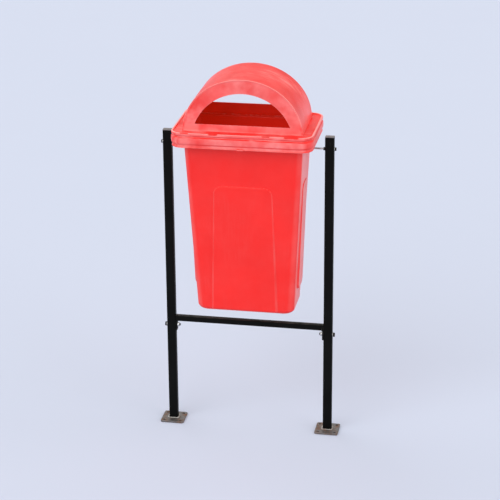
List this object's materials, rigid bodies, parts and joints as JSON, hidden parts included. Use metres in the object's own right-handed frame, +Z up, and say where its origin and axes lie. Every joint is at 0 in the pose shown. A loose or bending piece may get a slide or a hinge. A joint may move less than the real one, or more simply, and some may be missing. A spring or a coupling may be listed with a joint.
{
  "type": "litter bin on posts",
  "caption": "Tapered plastic litter bin with a vaulted, open-ended hood, swinging on pivots between steel posts joined by a crossbar.",
  "frame": {"origin": "on the ground, midway between the two posts", "axes": "+Z up, -Y to the front, +X along the crossbar to the viewer's right"},
  "size_m": [0.586, 0.2975, 1.1966],
  "materials": {
    "red_plastic": "satin moulded polyethylene, lightly scuffed",
    "black_paint": "satin black enamel on steel tube",
    "bare_steel": "bare hot-rolled steel with light rust",
    "zinc_plate": "zinc plated",
    "grey_nylon": "plain nylon",
    "grey_cap": "dusty moulded plastic",
    "blackened_steel": "painted over with the posts"
  },
  "bodies": {
    "frame": {"left_post": "black_paint", "left_post_cap": "grey_cap", "left_base_plate": "bare_steel", "left_foot_weld": "bare_steel", "left_crossbar_tab": "black_paint", "left_crossbar_washer": "zinc_plate", "left_crossbar_nut": "zinc_plate", "left_crossbar_bolt": "blackened_steel", "left_pivot_outer_washer": "zinc_plate", "left_pivot_jam_nut": "blackened_steel", "left_pivot_inner_washer": "zinc_plate", "left_pivot_lock_nut": "zinc_plate", "left_pivot_bolt": "zinc_plate", "right_post": "black_paint", "right_post_cap": "grey_cap", "right_base_plate": "bare_steel", "right_foot_weld": "bare_steel", "right_crossbar_tab": "black_paint", "right_crossbar_washer": "zinc_plate", "right_crossbar_nut": "zinc_plate", "right_crossbar_bolt": "blackened_steel", "right_pivot_outer_washer": "zinc_plate", "right_pivot_jam_nut": "blackened_steel", "right_pivot_inner_washer": "zinc_plate", "right_pivot_lock_nut": "zinc_plate", "right_pivot_bolt": "zinc_plate", "crossbar": "black_paint"},
    "bin": {"bin_body": "red_plastic", "left_pivot_bush": "grey_nylon", "left_hinge_pin": "zinc_plate", "left_hinge_pin_cap": "zinc_plate", "right_pivot_bush": "grey_nylon", "right_hinge_pin": "zinc_plate", "right_hinge_pin_cap": "zinc_plate"},
    "lid": {"lid": "red_plastic"}
  },
  "joints": [
    {"name": "bin_swing", "type": "hinge", "parent": "frame", "child": "bin", "pos_m": [0, 0, 0.9595], "axis": [1, 0, 0], "continuous": true},
    {"name": "lid_open", "type": "hinge", "parent": "bin", "child": "lid", "pos_m": [0, 0.146, 0.9805], "axis": [-1, 0, 0], "range_deg": [0, 100]}
  ]
}
